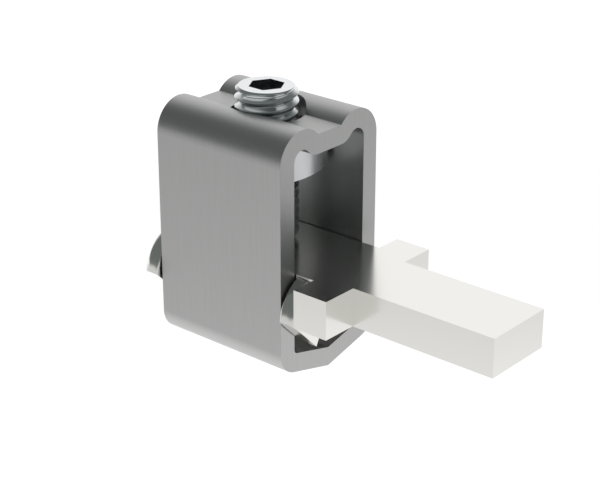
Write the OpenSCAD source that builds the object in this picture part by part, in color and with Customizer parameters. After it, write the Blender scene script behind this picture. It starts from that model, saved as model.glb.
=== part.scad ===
// Vee clamp for a cable and a flat terminal bar.
// X runs along the cable and the bar, Y across the frame, Z up the screw.
// The origin is the middle of the vee's root line, where the cable lies.
// The bar and the saddle stay where they are, and the screw pulls the frame up.

/* [Frame] */
// Length of the frame along the cable
frame_l = 25; // [20:0.5:32]
// Width over the two side walls
frame_w = 22.4; // [21:0.1:26]
// Thickness of the wall, the same all round
wall = 3.1; // [2.4:0.1:3.6]
// Height of the two ridges above the vee's root
ridge_top = 37.7; // [35:0.1:42]
// Outer radius of each ridge
ridge_r = 4.9; // [4.2:0.1:5.2]
// Depth of the channel between the ridges
channel_d = 1.6; // [1:0.1:2.2]
// Slope of each side of the vee
vee_angle = 14.2; // [8:0.1:20]
// Inner radius where the vee meets a side wall
corner_r = 0.8; // [0.5:0.1:1.5]
// Diameter of the clearance hole for the screw
hole_d = 12; // [11:0.1:13]

/* [Screw] */
// Diameter over the thread's crests
screw_d = 9.9; // [9:0.1:10.2]
// Length of the screw
screw_l = 25; // [22:1:32]
// Pitch of the thread
thread_pitch = 1.5; // [1:0.25:2]
// Hexagon socket, across its flats
socket_af = 5; // [4:0.5:6]
// Turn of the socket's corners from the X axis
socket_turn = 30; // [0:5:60]
// Depth of the socket's flats
socket_depth = 5; // [3:0.5:8]
// Depth of the drill point below the flats
socket_cone = 1.3; // [0.5:0.1:1.5]
// Chamfer round the socket end
head_chamfer = 0.6; // [0.2:0.1:1]
// Chamfer round the flat point
point_chamfer = 1; // [0.4:0.1:1.4]

/* [Nut] */
// Diameter of the nut over its round ends
nut_d = 19.4; // [16.4:0.1:21]
// Height of the nut
nut_h = 5.1; // [4:0.1:8]
// Chamfer round the nut's lower rim
nut_chamfer = 0.4; // [0.2:0.1:0.8]

/* [Terminal bar] */
// Thickness of the bar
bar_t = 6.2; // [5:0.1:7]
// Length of the crossbar along the cable
cross_l = 6.2; // [4:0.1:10]
// How far each of the crossbar's ears stands out beyond a cheek
ear_over = 0.2; // [0:0.1:4]
// Width of the neck beyond the crossbar
neck_w = 12.4; // [8:0.1:16]
// Length of the neck beyond the crossbar
neck_l = 25; // [15:0.5:40]
// How far the tongue's end stops short of the rear flange's outer face
tongue_short = 0.6; // [0.2:0.1:4]

/* [Saddle] */
// Height of the bar's seat above the vee's root
seat_z = 9.15; // [8.5:0.05:11]
// Thickness of the saddle's web under the bar
web_t = 2.7; // [2:0.1:3.5]
// Width over the tips of the two feet
foot_w = 14.1; // [13:0.1:15]
// Slope of the groove's sides, from the level
groove_angle = 64; // [55:1:75]
// Thickness of each end flange
flange_t = 3.2; // [2.4:0.1:4]
// How far a flange stands out beyond the frame's side wall
flange_over = 1; // [0.5:0.1:2]
// Radius of the round cheeks beside the bar
cheek_r = 7.2; // [6.8:0.1:7.6]
// Height of the cheeks' centre below the seat
cheek_drop = 0.7; // [0.4:0.1:1.2]
// Rounding of a cheek's outer edge
cheek_edge_r = 1.5; // [0.5:0.1:2]
// Rounding of a cheek's edge beside the frame
cheek_inner_r = 0.5; // [0.2:0.1:1]

/* [Clearances] */
// Gap each side between the frame's walls and what slides in them
slide_gap = 0.2; // [0.1:0.05:0.3]
// Gap between the frame's end and a flange
flange_gap = 0.3; // [0.1:0.05:0.6]
// Gap each side between the bar's tongue and a cheek
cheek_gap = 0.1; // [0.05:0.05:0.2]
// Gap between the front flange and the crossbar
cross_gap = 0.05; // [0.02:0.01:0.3]
// Gap between the screw's point and the bar
point_gap = 0.05; // [0.02:0.01:0.2]
// Radial gap between the screw and the nut's bore
thread_gap = 0.06; // [0.02:0.01:0.1]

/* [Hidden] */
$fn = 96;
// How far a cut runs past the faces that it opens
past = 1;

// Frame: the wall's inner face is the outer one moved in by the wall
half_w = frame_w / 2;
inner_w = half_w - wall;
ridge_y = half_w - ridge_r;
ridge_z = ridge_top - ridge_r;
channel_z = ridge_top - channel_d;
// Where a ridge's circle meets the channel's floor
channel_y = ridge_y - sqrt(pow(ridge_r, 2) - pow(channel_z - ridge_z, 2));
under_z = channel_z - wall;
// Where the inner hump's arc meets the pocket under the ridge
blend_y = channel_y + (ridge_y - channel_y) * wall / ridge_r;
blend_z = channel_z + (ridge_z - channel_z) * wall / ridge_r;
// Centre of the corner where the vee meets a side wall
corner_y = inner_w - corner_r;
corner_z = corner_y * tan(vee_angle) + corner_r / cos(vee_angle);

// Saddle and bar
flange_x = frame_l / 2 + flange_gap;
saddle_end = flange_x + flange_t;
slide_w = 2 * (inner_w - slide_gap);
cheek_y = half_w + flange_over - cheek_r;
cheek_z = seat_z - cheek_drop;
// Where a cheek's circle meets the level of the seat
side_y = cheek_y + sqrt(pow(cheek_r, 2) - pow(cheek_drop, 2));
// The underside falls at 45 degrees from there to the foot
foot_z = seat_z - (side_y - foot_w / 2);
groove_z = seat_z - web_t;
groove_y = foot_w / 2 - (groove_z - foot_z) / tan(groove_angle);
slot_w = slide_w + 2 * cheek_gap;
cross_x = saddle_end + cross_gap;
bar_end = cross_x + cross_l + neck_l;

// Screw: its place, and the proportions of a 60 degree metric thread
screw_z = seat_z + bar_t + point_gap;
thread_depth = 5 / 8 * thread_pitch * sin(60);
crest_flat = thread_pitch / 8;
root_flat = thread_pitch / 4;
thread_flank = (thread_pitch - crest_flat - root_flat) / 2;

// Stands an outline drawn in Y and Z up, and runs it from x0 along X
module along_x(x0, length)
    translate([x0, 0, 0])
        rotate([90, 0, 90])
            linear_extrude(length)
                children();

module both_sides() {
    children();
    mirror([1, 0]) children();
}

// One face of the frame's wall: the outer one, or the inner one moved in by inset.
// top_z and top_y are the corner of its flat top.
module frame_face(inset, top_y, top_z) {
    bend_r = corner_r + wall - inset;
    root_z = (inset - wall) / cos(vee_angle);
    both_sides() {
        polygon([
            [0, root_z],
            [corner_y + bend_r * sin(vee_angle), corner_z - bend_r * cos(vee_angle)],
            [corner_y, corner_z],
            [half_w - inset, corner_z],
            [half_w - inset, ridge_z],
            [ridge_y, ridge_z],
            [top_y, top_z],
            [channel_y, top_z < channel_z ? under_z : top_z],
            [0, top_z < channel_z ? under_z : top_z]
        ]);
        translate([corner_y, corner_z]) circle(bend_r);
        translate([ridge_y, ridge_z]) circle(ridge_r - inset);
    }
}

module frame_outline() {
    difference() {
        frame_face(0, channel_y, channel_z);
        difference() {
            frame_face(wall, blend_y, blend_z);
            both_sides() translate([channel_y, channel_z]) circle(wall);
        }
    }
}

module frame() {
    color("darkgray")
        difference() {
            along_x(-frame_l / 2, frame_l) frame_outline();
            translate([0, 0, under_z - past]) cylinder(d = hole_d, h = wall + channel_d + 2 * past);
        }
}

module nut() {
    radius = nut_d / 2;
    color("silver")
        translate([0, 0, under_z - nut_h])
            difference() {
                intersection() {
                    rotate_extrude()
                        polygon([
                            [0, 0],
                            [radius - nut_chamfer, 0],
                            [radius, nut_chamfer],
                            [radius, nut_h],
                            [0, nut_h]
                        ]);
                    translate([-nut_d, -slide_w / 2, -past]) cube([2 * nut_d, slide_w, nut_h + 2 * past]);
                }
                translate([0, 0, -past]) cylinder(r = screw_d / 2 + thread_gap, h = nut_h + 2 * past);
            }
}

// Half of the thread's outline. It is drawn as rings, which have the thread's pitch and depth
// but don't climb. The first crest lies under the chamfer at the socket end.
module thread_outline(radius) {
    root = radius - thread_depth;
    first = screw_l - head_chamfer;
    rings = ceil(first / thread_pitch);
    polygon([
        [0, screw_l],
        [radius, screw_l],
        [radius, first],
        for (i = [0 : rings - 1])
            let (top = first - i * thread_pitch)
                each [
                    [radius, top - crest_flat],
                    [root, top - crest_flat - thread_flank],
                    [root, top - thread_pitch + thread_flank],
                    [radius, top - thread_pitch]
                ],
        [0, first - rings * thread_pitch]
    ]);
}

module screw() {
    radius = screw_d / 2;
    color("gainsboro")
        translate([0, 0, screw_z])
            difference() {
                rotate_extrude()
                    intersection() {
                        thread_outline(radius);
                        polygon([
                            [0, 0],
                            [radius - point_chamfer, 0],
                            [radius, point_chamfer],
                            [radius, screw_l - head_chamfer],
                            [radius - head_chamfer, screw_l],
                            [0, screw_l]
                        ]);
                    }
                translate([0, 0, screw_l - socket_depth])
                    rotate([0, 0, socket_turn])
                        cylinder(d = socket_af / cos(30), h = socket_depth + past, $fn = 6);
                translate([0, 0, screw_l - socket_depth - socket_cone])
                    cylinder(r1 = 0, r2 = socket_af / 2, h = socket_cone + 0.01);
            }
}

// The web, its two feet and the groove between them, between the frame's walls
module saddle_body() {
    side = slide_w / 2;
    along_x(-saddle_end, 2 * saddle_end)
        polygon([
            [-side, seat_z],
            [side, seat_z],
            [side, foot_z + side - foot_w / 2],
            [foot_w / 2, foot_z],
            [groove_y, groove_z],
            [-groove_y, groove_z],
            [-foot_w / 2, foot_z],
            [-side, foot_z + side - foot_w / 2]
        ]);
}

// A round plate with both edges of its rim rounded, its axis along X
module cheek_disc() {
    rotate([0, 90, 0])
        rotate_extrude() {
            square([cheek_r - cheek_edge_r, flange_t]);
            square([cheek_r - cheek_inner_r, flange_t - cheek_edge_r]);
            translate([0, cheek_inner_r]) square([cheek_r, flange_t - cheek_edge_r - cheek_inner_r]);
            translate([cheek_r - cheek_inner_r, cheek_inner_r]) circle(cheek_inner_r);
            translate([cheek_r - cheek_edge_r, flange_t - cheek_edge_r]) circle(cheek_edge_r);
        }
}

// An end flange: two round cheeks that stand up beside the bar and taper to the feet
module flange() {
    above = seat_z + cheek_r;
    reach = foot_w / 2 + above - foot_z;
    translate([flange_x, 0, 0])
        intersection() {
            along_x(0, flange_t)
                polygon([
                    [foot_w / 2, foot_z],
                    [reach, above],
                    [slot_w / 2, above],
                    [slot_w / 2, seat_z],
                    [-slot_w / 2, seat_z],
                    [-slot_w / 2, above],
                    [-reach, above],
                    [-foot_w / 2, foot_z],
                    [-groove_y, groove_z],
                    [groove_y, groove_z]
                ]);
            union() {
                for (side = [-1, 1])
                    translate([0, side * cheek_y, cheek_z]) cheek_disc();
                translate([0, -cheek_y, foot_z]) cube([flange_t, 2 * cheek_y, seat_z - foot_z]);
            }
        }
}

module saddle() {
    color("lightgray") {
        saddle_body();
        flange();
        mirror([1, 0, 0]) flange();
    }
}

module terminal_bar() {
    tongue = slide_w / 2;
    ear = cheek_y + cheek_r + ear_over;
    neck = neck_w / 2;
    color("whitesmoke")
        translate([0, 0, seat_z])
            linear_extrude(bar_t)
                polygon([
                    [tongue_short - saddle_end, -tongue],
                    [cross_x, -tongue],
                    [cross_x, -ear],
                    [cross_x + cross_l, -ear],
                    [cross_x + cross_l, -neck],
                    [bar_end, -neck],
                    [bar_end, neck],
                    [cross_x + cross_l, neck],
                    [cross_x + cross_l, ear],
                    [cross_x, ear],
                    [cross_x, tongue],
                    [tongue_short - saddle_end, tongue]
                ]);
}

frame();
nut();
screw();
saddle();
terminal_bar();
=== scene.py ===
"""The vee clamp's looks: its finishes, the screw's thread, the nut, a plain studio and the camera."""

import math

import bpy
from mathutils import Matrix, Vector


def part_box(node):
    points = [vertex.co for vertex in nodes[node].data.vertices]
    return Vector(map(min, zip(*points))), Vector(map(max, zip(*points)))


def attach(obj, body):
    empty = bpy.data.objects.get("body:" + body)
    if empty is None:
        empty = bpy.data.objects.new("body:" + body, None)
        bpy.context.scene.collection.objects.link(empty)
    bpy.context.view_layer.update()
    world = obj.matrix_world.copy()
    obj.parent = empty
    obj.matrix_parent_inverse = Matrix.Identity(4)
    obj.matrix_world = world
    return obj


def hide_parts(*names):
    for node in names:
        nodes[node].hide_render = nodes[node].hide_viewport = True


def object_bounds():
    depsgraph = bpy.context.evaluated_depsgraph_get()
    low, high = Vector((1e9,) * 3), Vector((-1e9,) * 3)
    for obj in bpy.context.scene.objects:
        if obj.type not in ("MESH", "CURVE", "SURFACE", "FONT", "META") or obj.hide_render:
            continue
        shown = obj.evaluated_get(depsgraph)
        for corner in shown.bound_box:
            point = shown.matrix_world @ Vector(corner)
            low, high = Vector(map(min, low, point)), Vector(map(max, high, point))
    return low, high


MM = 0.001
PICTURE_WIDTH = 600
WHITE = "#ffffff"

# The camera was fitted to the frame's edges: its place in mm, its turns in degrees and its focal length
CAMERA_PLACE = (156.5, -174.4, 116.6)
CAMERA_AZIMUTH = 40.67
CAMERA_ELEVATION = 23.5
FOCAL_PIXELS = 1621
SENSOR_WIDTH = 36
# The nearest and the farthest that it sees, in mm
LENS_NEAR = 1
LENS_FAR = 10000

# In mm: points of a mesh closer than this are one, and a face this near to a height lies at it
SAME_POINT = 0.001
SAME_HEIGHT = 0.01
# How far a cutter runs past the face that it opens, in mm
CUTTER_OVERRUN = 1
HEXAGON = 6

# The screw's M10 thread, in mm: a metric thread is 5/8 of its sharp height deep
THREAD_PITCH = 1.5
THREAD_DEPTH = 5 / 8 * THREAD_PITCH * math.sin(math.radians(60))
CREST_FLAT = THREAD_PITCH / 8
ROOT_FLAT = THREAD_PITCH / 4
THREAD_ROUNDING = 0.09
ROUNDING_STEPS = 3
# How far up the rod's helix starts, which sets where the groove runs out at the socket end
THREAD_RISE = 0.55
# Turns of the helix beyond each end of the screw, before the rod is cut
SPARE_TURNS = 2
STEPS_PER_TURN = 72

# The screw's ends, in mm, with the socket's turn in degrees
HEAD_CHAMFER = 0.6
POINT_CHAMFER = 1
SOCKET_ACROSS_FLATS = 5
SOCKET_TURN = 30
SOCKET_DEPTH = 5
SOCKET_CONE = 1.3
CONE_SIDES = 48
# The drill cone's base is a hair wider than the socket's flats and above its floor, so no faces coincide
CONE_WIDENING = 1.001
CONE_OVERLAP = 0.001
# How far the screw's blank stands clear of the thread's crests, in mm
BLANK_CLEARANCE = 0.05

# The nut, in mm: its two ends bulge a little, to the radius here, between two flats beside the walls
NUT_LENGTH = 16.2
NUT_WIDTH = 14.8
NUT_HEIGHT = 5.6
NUT_END_RADIUS = 14.5
NUT_SIDES = 192
NUT_BORE_GAP = 0.06
# Its chamfer, in mm, on the edges that turn by more than the angle here, in degrees
NUT_CHAMFER = 0.25
NUT_CHAMFER_STEPS = 2
NUT_CHAMFER_ANGLE = 40

# Edges that turn by less than these angles are shaded smooth, in degrees
SCREW_SMOOTH = 28
NUT_SMOOTH = 20

# Bright zinc plate on steel is a cool silver, clearest on the screw and duller on the nut. Bright tin
# plate, on the saddle and the bar, is a warm white metal. Both mirror the dark frame and the white room.
ZINC = "#e6e8ea"
TIN = "#f0efeb"
SCREW_ROUGHNESS = 0.16
NUT_ROUGHNESS = 0.3
TIN_ROUGHNESS = 0.2

# The aluminium's faint lines up its walls: their width and length in mm, and the noise that draws them.
# While it goes from its lower to its upper level, tone and roughness go from their first to their second.
LINE_WIDTH = 0.35
LINE_LENGTH = 12
LINE_DETAIL = 3
LINE_ROUGHNESS = 0.55
LINE_FROM = 0.3
LINE_TO = 0.7
ALUMINIUM_TONES = ("#b9b9b9", "#bfbfbe")
ALUMINIUM_ROUGHNESSES = (0.39, 0.45)

# How far the floor lies below the clamp, which hangs from its bar, and how wide the floor is, in mm
FLOOR_DROP = 90
FLOOR_SIZE = 4000
FLOOR_COLOUR = "#f2f2f2"
FLOOR_ROUGHNESS = 0.9
# The painted pool of light on the floor: its middle, and how far it is full and how far it reaches, in mm
POOL_PLACE = (-10, 50)
POOL_FULL = 100
POOL_REACH = 310
# How bright the floor's painted light is in the pool and beyond it
PAINTED_POOL_LEVEL = 1.1
PAINTED_FLOOR_LEVEL = 0.68
# The far floor at the back on the left has painted light, standing in for the soft box there: how bright
# it is there, and where that painted light starts and where it is full, in mm
PAINTED_BACK_LEVEL = 1.15
BACK_STARTS = 150
BACK_ENDS = 600

# The studio as seen from the clamp: how dark the room is, and the soft box, by the direction it fills
ROOM = "#686d6c"
BOX_FROM_Y = -0.15
BOX_FULL_Y = 0.63
BOX_FROM_X = 0.1
BOX_FULL_X = -0.3


def linear(code):
    """An sRGB hex colour as linear red, green, blue and alpha."""
    parts = [int(code[i : i + 2], 16) / 255 for i in (1, 3, 5)]
    return [p / 12.92 if p <= 0.04045 else ((p + 0.055) / 1.055) ** 2.4 for p in parts] + [1]


def add_node(tree, kind, settings=None, links=None):
    """Adds a node, sets its properties and sockets, and links its inputs to other nodes' outputs."""
    node = tree.nodes.new(kind)
    for name, value in (settings or {}).items():
        if isinstance(name, str) and hasattr(node, name):
            setattr(node, name, value)
        else:
            node.inputs[name].default_value = value
    for name, output in (links or {}).items():
        tree.links.new(output, node.inputs[name])
    return node


def new_material(name):
    """A material with an empty Principled shader, and that shader."""
    material = bpy.data.materials.new(name)
    material.use_nodes = True
    return material, material.node_tree.nodes["Principled BSDF"]


def satin_aluminium():
    """Extruded aluminium alloy with a satin finish: a mid grey metal, with faint lines up its walls."""
    material, shader = new_material("satin_aluminium")
    tree = material.node_tree
    shader.inputs["Metallic"].default_value = 1
    place = add_node(tree, "ShaderNodeTexCoord")
    across = 1 / (LINE_WIDTH * MM)
    up = 1 / (LINE_LENGTH * MM)
    stretch = add_node(tree, "ShaderNodeMapping", {"Scale": (across, across, up)},
                       {"Vector": place.outputs["Object"]})
    lines = add_node(tree, "ShaderNodeTexNoise",
                     {"Scale": 1, "Detail": LINE_DETAIL, "Roughness": LINE_ROUGHNESS},
                     {"Vector": stretch.outputs["Vector"]})
    tone = add_node(tree, "ShaderNodeValToRGB", None, {"Fac": lines.outputs["Fac"]})
    for stop, level, colour in zip(tone.color_ramp.elements, (LINE_FROM, LINE_TO), ALUMINIUM_TONES):
        stop.position = level
        stop.color = linear(colour)
    tree.links.new(tone.outputs["Color"], shader.inputs["Base Color"])
    gloss = add_node(tree, "ShaderNodeMapRange",
                     {"From Min": LINE_FROM, "From Max": LINE_TO, "To Min": ALUMINIUM_ROUGHNESSES[0],
                      "To Max": ALUMINIUM_ROUGHNESSES[1]},
                     {"Value": lines.outputs["Fac"]})
    tree.links.new(gloss.outputs["Result"], shader.inputs["Roughness"])
    return material


def bright_plate(name, colour, roughness):
    """A plated metal of one colour: the lower its roughness, the clearer what it mirrors."""
    material, shader = new_material(name)
    shader.inputs["Base Color"].default_value = linear(colour)
    shader.inputs["Metallic"].default_value = 1
    shader.inputs["Roughness"].default_value = roughness
    return material


def dress(piece, finish):
    """Gives a piece its finish, in place of any that it has."""
    piece.data.materials.clear()
    piece.data.materials.append(finish)


def only(piece):
    """Makes one piece the only one that is selected, and the active one."""
    bpy.ops.object.select_all(action="DESELECT")
    piece.select_set(True)
    bpy.context.view_layer.objects.active = piece


def apply_place(piece):
    """Moves a piece's place, turn and size into its mesh, so that its object sits at the origin."""
    only(piece)
    bpy.ops.object.transform_apply(location=True, rotation=True, scale=True)


def shade_smooth(piece, angle):
    """Shades a piece smooth across the edges that turn by less than an angle, in degrees."""
    only(piece)
    bpy.ops.object.shade_smooth_by_angle(angle=math.radians(angle))


def standing_cylinder(radius, low, high, sides, x=0, turn=0):
    """A cylinder along Z between two heights, at a place on the X axis and with a turn in degrees."""
    bpy.ops.mesh.primitive_cylinder_add(vertices=sides, radius=radius, depth=high - low,
                                        location=(x, 0, (high + low) / 2),
                                        rotation=(0, 0, math.radians(turn)))
    piece = bpy.context.object
    apply_place(piece)
    return piece


def cut(piece, cutter, operation):
    """Cuts a piece with another one, which is used up."""
    modifier = piece.modifiers.new("cut", "BOOLEAN")
    modifier.operation = operation
    modifier.solver = "EXACT"
    modifier.object = cutter
    only(piece)
    bpy.ops.object.modifier_apply(modifier="cut")
    bpy.data.objects.remove(cutter, do_unlink=True)


def bevel_end(piece, height, width):
    """Bevels the rim of a standing cylinder's end, which lies at a height."""
    only(piece)
    bpy.ops.object.mode_set(mode="EDIT")
    bpy.ops.mesh.select_all(action="DESELECT")
    bpy.ops.object.mode_set(mode="OBJECT")
    for face in piece.data.polygons:
        face.select = abs(face.center.z - height) < SAME_HEIGHT * MM
    bpy.ops.object.mode_set(mode="EDIT")
    bpy.ops.mesh.select_mode(type="FACE")
    bpy.ops.mesh.region_to_loop()
    bpy.ops.mesh.bevel(offset=width, offset_type="OFFSET", segments=1)
    bpy.ops.object.mode_set(mode="OBJECT")


def thread_rod(low, high, crest):
    """A rod with a right-hand helical thread, longer than the screw at both ends."""
    pitch = THREAD_PITCH * MM
    depth = THREAD_DEPTH * MM
    flank = (THREAD_PITCH - CREST_FLAT - ROOT_FLAT) / 2 * MM
    half_root = ROOT_FLAT / 2 * MM
    same_point = SAME_POINT * MM
    start = low.z - SPARE_TURNS * pitch + THREAD_RISE * MM

    # One pitch of the thread's outline, drawn out from a point, with its four corners rounded
    bpy.ops.mesh.primitive_plane_add(size=pitch)
    rod = bpy.context.object
    bpy.ops.object.mode_set(mode="EDIT")
    bpy.ops.mesh.merge(type="CENTER")
    bpy.ops.transform.translate(value=(crest - depth, 0, start))
    for out, up in ((0, half_root), (depth, flank), (0, CREST_FLAT * MM), (-depth, flank), (0, half_root)):
        bpy.ops.mesh.extrude_region_move(TRANSFORM_OT_translate={"value": (out, 0, up)})
    bpy.ops.mesh.select_all(action="DESELECT")
    bpy.ops.object.mode_set(mode="OBJECT")
    for vertex in rod.data.vertices:
        vertex.select = start < vertex.co.z - same_point and vertex.co.z + same_point < start + pitch
    bpy.ops.object.mode_set(mode="EDIT")
    bpy.ops.mesh.select_mode(type="VERT")
    bpy.ops.mesh.bevel(offset=THREAD_ROUNDING * MM, segments=ROUNDING_STEPS, affect="VERTICES")
    bpy.ops.object.mode_set(mode="OBJECT")

    helix = rod.modifiers.new("helix", "SCREW")
    helix.axis = "Z"
    helix.angle = 2 * math.pi
    helix.screw_offset = pitch
    helix.iterations = math.ceil((high.z - low.z) / pitch) + 2 * SPARE_TURNS
    helix.steps = helix.render_steps = STEPS_PER_TURN
    helix.use_merge_vertices = True
    helix.merge_threshold = same_point
    bpy.ops.object.modifier_apply(modifier="helix")

    # The rod is cut square and closed, half a pitch beyond each end of the screw
    bpy.ops.object.mode_set(mode="EDIT")
    bpy.ops.mesh.select_all(action="SELECT")
    bpy.ops.mesh.remove_doubles(threshold=same_point)
    for height, up in ((low.z - pitch / 2, -1), (high.z + pitch / 2, 1)):
        bpy.ops.mesh.select_all(action="SELECT")
        bpy.ops.mesh.bisect(plane_co=(0, 0, height), plane_no=(0, 0, up), use_fill=True,
                            clear_outer=True, threshold=same_point)
    bpy.ops.mesh.select_all(action="SELECT")
    bpy.ops.mesh.normals_make_consistent(inside=False)
    bpy.ops.object.mode_set(mode="OBJECT")
    return rod


def screw_blank(low, high, crest):
    """What the rod is cut to: a chamfered rod just clear of its crests, with a drilled hexagon socket."""
    clear = BLANK_CLEARANCE * MM
    blank = standing_cylinder(crest + clear, low.z, high.z, STEPS_PER_TURN)
    bevel_end(blank, high.z, HEAD_CHAMFER * MM + clear)
    bevel_end(blank, low.z, POINT_CHAMFER * MM + clear)

    flat = SOCKET_ACROSS_FLATS / 2 * MM
    floor = high.z - SOCKET_DEPTH * MM
    socket = standing_cylinder(flat / math.cos(math.pi / HEXAGON), floor, high.z + CUTTER_OVERRUN * MM,
                               HEXAGON, turn=SOCKET_TURN)
    cut(blank, socket, "DIFFERENCE")

    cone = SOCKET_CONE * MM
    bpy.ops.mesh.primitive_cone_add(vertices=CONE_SIDES, radius1=0, radius2=flat * CONE_WIDENING,
                                    depth=cone, location=(0, 0, floor - cone / 2 + CONE_OVERLAP * MM))
    drill = bpy.context.object
    apply_place(drill)
    cut(blank, drill, "DIFFERENCE")
    return blank


def threaded_screw(finish):
    """The screw with its helical thread: a rod of thread, cut to the blank's ends and socket."""
    low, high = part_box("screw")
    crest = (high.x - low.x) / 2
    screw = thread_rod(low, high, crest)
    screw.name = screw.data.name = "threaded_screw"
    cut(screw, screw_blank(low, high, crest), "INTERSECT")
    dress(screw, finish)
    shade_smooth(screw, SCREW_SMOOTH)
    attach(screw, "screw")
    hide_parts("screw")


def barrel_nut(finish):
    """The nut, with the form that the photograph shows: flatter ends than the round nut of the solids."""
    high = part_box("nut")[1].z
    low = high - NUT_HEIGHT * MM
    radius = NUT_END_RADIUS * MM
    centre = radius - NUT_LENGTH / 2 * MM
    nut = standing_cylinder(radius, low, high, NUT_SIDES, x=-centre)
    nut.name = nut.data.name = "barrel_nut"
    cut(nut, standing_cylinder(radius, low, high, NUT_SIDES, x=centre), "INTERSECT")

    bpy.ops.mesh.primitive_cube_add(size=1, location=(0, 0, (high + low) / 2))
    block = bpy.context.object
    block.scale = (NUT_LENGTH * MM, NUT_WIDTH * MM, 2 * NUT_HEIGHT * MM)
    apply_place(block)
    cut(nut, block, "INTERSECT")

    rim = nut.modifiers.new("rim", "BEVEL")
    rim.width = NUT_CHAMFER * MM
    rim.segments = NUT_CHAMFER_STEPS
    rim.limit_method = "ANGLE"
    rim.angle_limit = math.radians(NUT_CHAMFER_ANGLE)
    only(nut)
    bpy.ops.object.modifier_apply(modifier="rim")

    crest = (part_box("screw")[1].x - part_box("screw")[0].x) / 2
    over = CUTTER_OVERRUN * MM
    bore = standing_cylinder(crest + NUT_BORE_GAP * MM, low - over, high + over, NUT_SIDES)
    cut(nut, bore, "DIFFERENCE")
    dress(nut, finish)
    shade_smooth(nut, NUT_SMOOTH)
    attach(nut, "frame")
    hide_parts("nut")


def studio_floor(low):
    """A plain white floor, well below the clamp, with a painted pool of light under it and painted shade
    that greys it away from the pool.
    """
    material, shader = new_material("studio_floor")
    tree = material.node_tree
    shader.inputs["Base Color"].default_value = linear(FLOOR_COLOUR)
    shader.inputs["Roughness"].default_value = FLOOR_ROUGHNESS
    # Painted light: the emission's strength paints a pool of light under the clamp, painted shade away
    # from it, and painted light again at the back on the left
    place = add_node(tree, "ShaderNodeTexCoord")
    from_pool = add_node(tree, "ShaderNodeMapping",
                         {"vector_type": "TEXTURE",
                          "Location": (POOL_PLACE[0] * MM, POOL_PLACE[1] * MM, 0)},
                         {"Vector": place.outputs["Object"]})
    away = add_node(tree, "ShaderNodeVectorMath", {"operation": "LENGTH"},
                    {0: from_pool.outputs["Vector"]})
    back_left = add_node(tree, "ShaderNodeVectorMath", {"operation": "DOT_PRODUCT", 1: (-1, 1, 0)},
                         {0: place.outputs["Object"]})
    back = add_node(tree, "ShaderNodeMapRange",
                    {"interpolation_type": "SMOOTHSTEP", "From Min": BACK_STARTS * MM,
                     "From Max": BACK_ENDS * MM, "To Min": PAINTED_FLOOR_LEVEL, "To Max": PAINTED_BACK_LEVEL},
                    {"Value": back_left.outputs["Value"]})
    pool = add_node(tree, "ShaderNodeMapRange",
                    {"interpolation_type": "SMOOTHSTEP", "From Min": POOL_FULL * MM,
                     "From Max": POOL_REACH * MM, "To Min": PAINTED_POOL_LEVEL},
                    {"Value": away.outputs["Value"], "To Max": back.outputs["Result"]})

    # The camera sees the floor white, mirrors and glass see it at its painted light level, all else sees
    # its surface
    path = add_node(tree, "ShaderNodeLightPath")
    level = add_node(tree, "ShaderNodeMath", {"operation": "MAXIMUM"},
                     {0: path.outputs["Is Camera Ray"], 1: pool.outputs["Result"]})
    white = add_node(tree, "ShaderNodeEmission", {"Color": linear(WHITE)},
                     {"Strength": level.outputs["Value"]})
    glossy = add_node(tree, "ShaderNodeMath", {"operation": "MAXIMUM"},
                      {0: path.outputs["Is Camera Ray"], 1: path.outputs["Is Glossy Ray"]})
    direct = add_node(tree, "ShaderNodeMath", {"operation": "MAXIMUM"},
                      {0: glossy.outputs["Value"], 1: path.outputs["Is Transmission Ray"]})
    seen = add_node(tree, "ShaderNodeMixShader", None,
                    {0: direct.outputs["Value"], 1: shader.outputs["BSDF"],
                     2: white.outputs["Emission"]})
    tree.links.new(seen.outputs["Shader"], tree.nodes["Material Output"].inputs["Surface"])
    bpy.ops.mesh.primitive_plane_add(size=FLOOR_SIZE * MM, location=(0, 0, low.z - FLOOR_DROP * MM))
    floor = bpy.context.object
    floor.name = "studio_floor"
    floor.data.materials.append(material)
    material.cycles.emission_sampling = "NONE"


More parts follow.
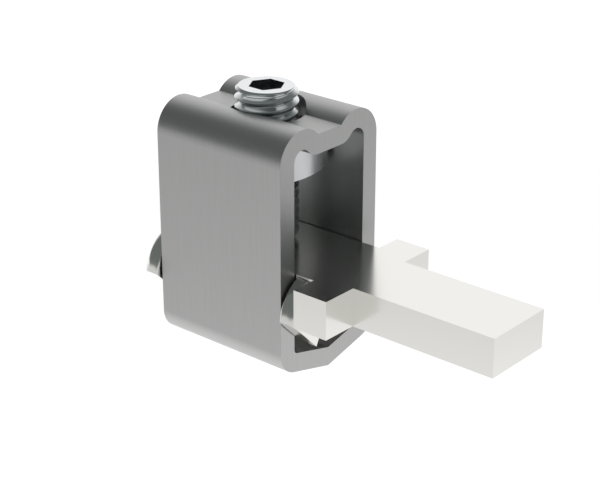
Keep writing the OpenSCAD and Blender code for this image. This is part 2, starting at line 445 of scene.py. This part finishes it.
def surroundings():
    """A dim room with one big soft box at the back on the left. The camera sees plain white instead."""
    world = bpy.data.worlds.new("surroundings")
    bpy.context.scene.world = world
    world.use_nodes = True
    tree = world.node_tree
    room = tree.nodes["Background"]
    place = add_node(tree, "ShaderNodeTexCoord")
    axes = add_node(tree, "ShaderNodeSeparateXYZ", None, {"Vector": place.outputs["Generated"]})
    back = add_node(tree, "ShaderNodeMapRange",
                    {"interpolation_type": "SMOOTHSTEP", "From Min": BOX_FROM_Y, "From Max": BOX_FULL_Y},
                    {"Value": axes.outputs["Y"]})
    side = add_node(tree, "ShaderNodeMapRange",
                    {"interpolation_type": "SMOOTHSTEP", "From Min": BOX_FULL_X, "From Max": BOX_FROM_X,
                     "To Min": 1, "To Max": 0},
                    {"Value": axes.outputs["X"]})
    box = add_node(tree, "ShaderNodeMath", {"operation": "MULTIPLY"},
                   {0: back.outputs["Result"], 1: side.outputs["Result"]})
    lit = add_node(tree, "ShaderNodeMixRGB", {"Color1": linear(ROOM), "Color2": linear(WHITE)},
                   {"Fac": box.outputs["Value"]})
    tree.links.new(lit.outputs["Color"], room.inputs["Color"])
    white = add_node(tree, "ShaderNodeBackground", {"Color": linear(WHITE), "Strength": 1})
    path = add_node(tree, "ShaderNodeLightPath")
    seen = add_node(tree, "ShaderNodeMixShader", None,
                    {0: path.outputs["Is Camera Ray"], 1: room.outputs["Background"],
                     2: white.outputs["Background"]})
    tree.links.new(seen.outputs["Shader"], tree.nodes["World Output"].inputs["Surface"])


def camera():
    """The photograph's camera."""
    data = bpy.data.cameras.new("camera")
    data.sensor_width = SENSOR_WIDTH
    data.lens = FOCAL_PIXELS / PICTURE_WIDTH * SENSOR_WIDTH
    data.clip_start = LENS_NEAR * MM
    data.clip_end = LENS_FAR * MM
    eye = bpy.data.objects.new("camera", data)
    eye.location = Vector(CAMERA_PLACE) * MM
    eye.rotation_euler = (math.radians(90 - CAMERA_ELEVATION), 0, math.radians(CAMERA_AZIMUTH))
    bpy.context.scene.collection.objects.link(eye)
    bpy.context.scene.camera = eye


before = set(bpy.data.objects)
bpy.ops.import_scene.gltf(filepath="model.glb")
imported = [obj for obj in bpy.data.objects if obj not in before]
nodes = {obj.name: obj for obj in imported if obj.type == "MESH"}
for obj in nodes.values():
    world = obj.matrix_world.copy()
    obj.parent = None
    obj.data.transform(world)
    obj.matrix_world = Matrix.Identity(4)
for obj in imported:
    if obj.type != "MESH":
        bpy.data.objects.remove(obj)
cad_low, cad_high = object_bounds()
bpy.ops.object.select_all(action="DESELECT")

tin = bright_plate("bright_tin", TIN, TIN_ROUGHNESS)
dress(nodes["frame"], satin_aluminium())
dress(nodes["saddle"], tin)
dress(nodes["terminal_bar"], tin)
threaded_screw(bright_plate("bright_zinc", ZINC, SCREW_ROUGHNESS))
barrel_nut(bright_plate("duller_zinc", ZINC, NUT_ROUGHNESS))

studio_floor(cad_low)
surroundings()
camera()
bpy.context.scene.view_settings.view_transform = "Standard"
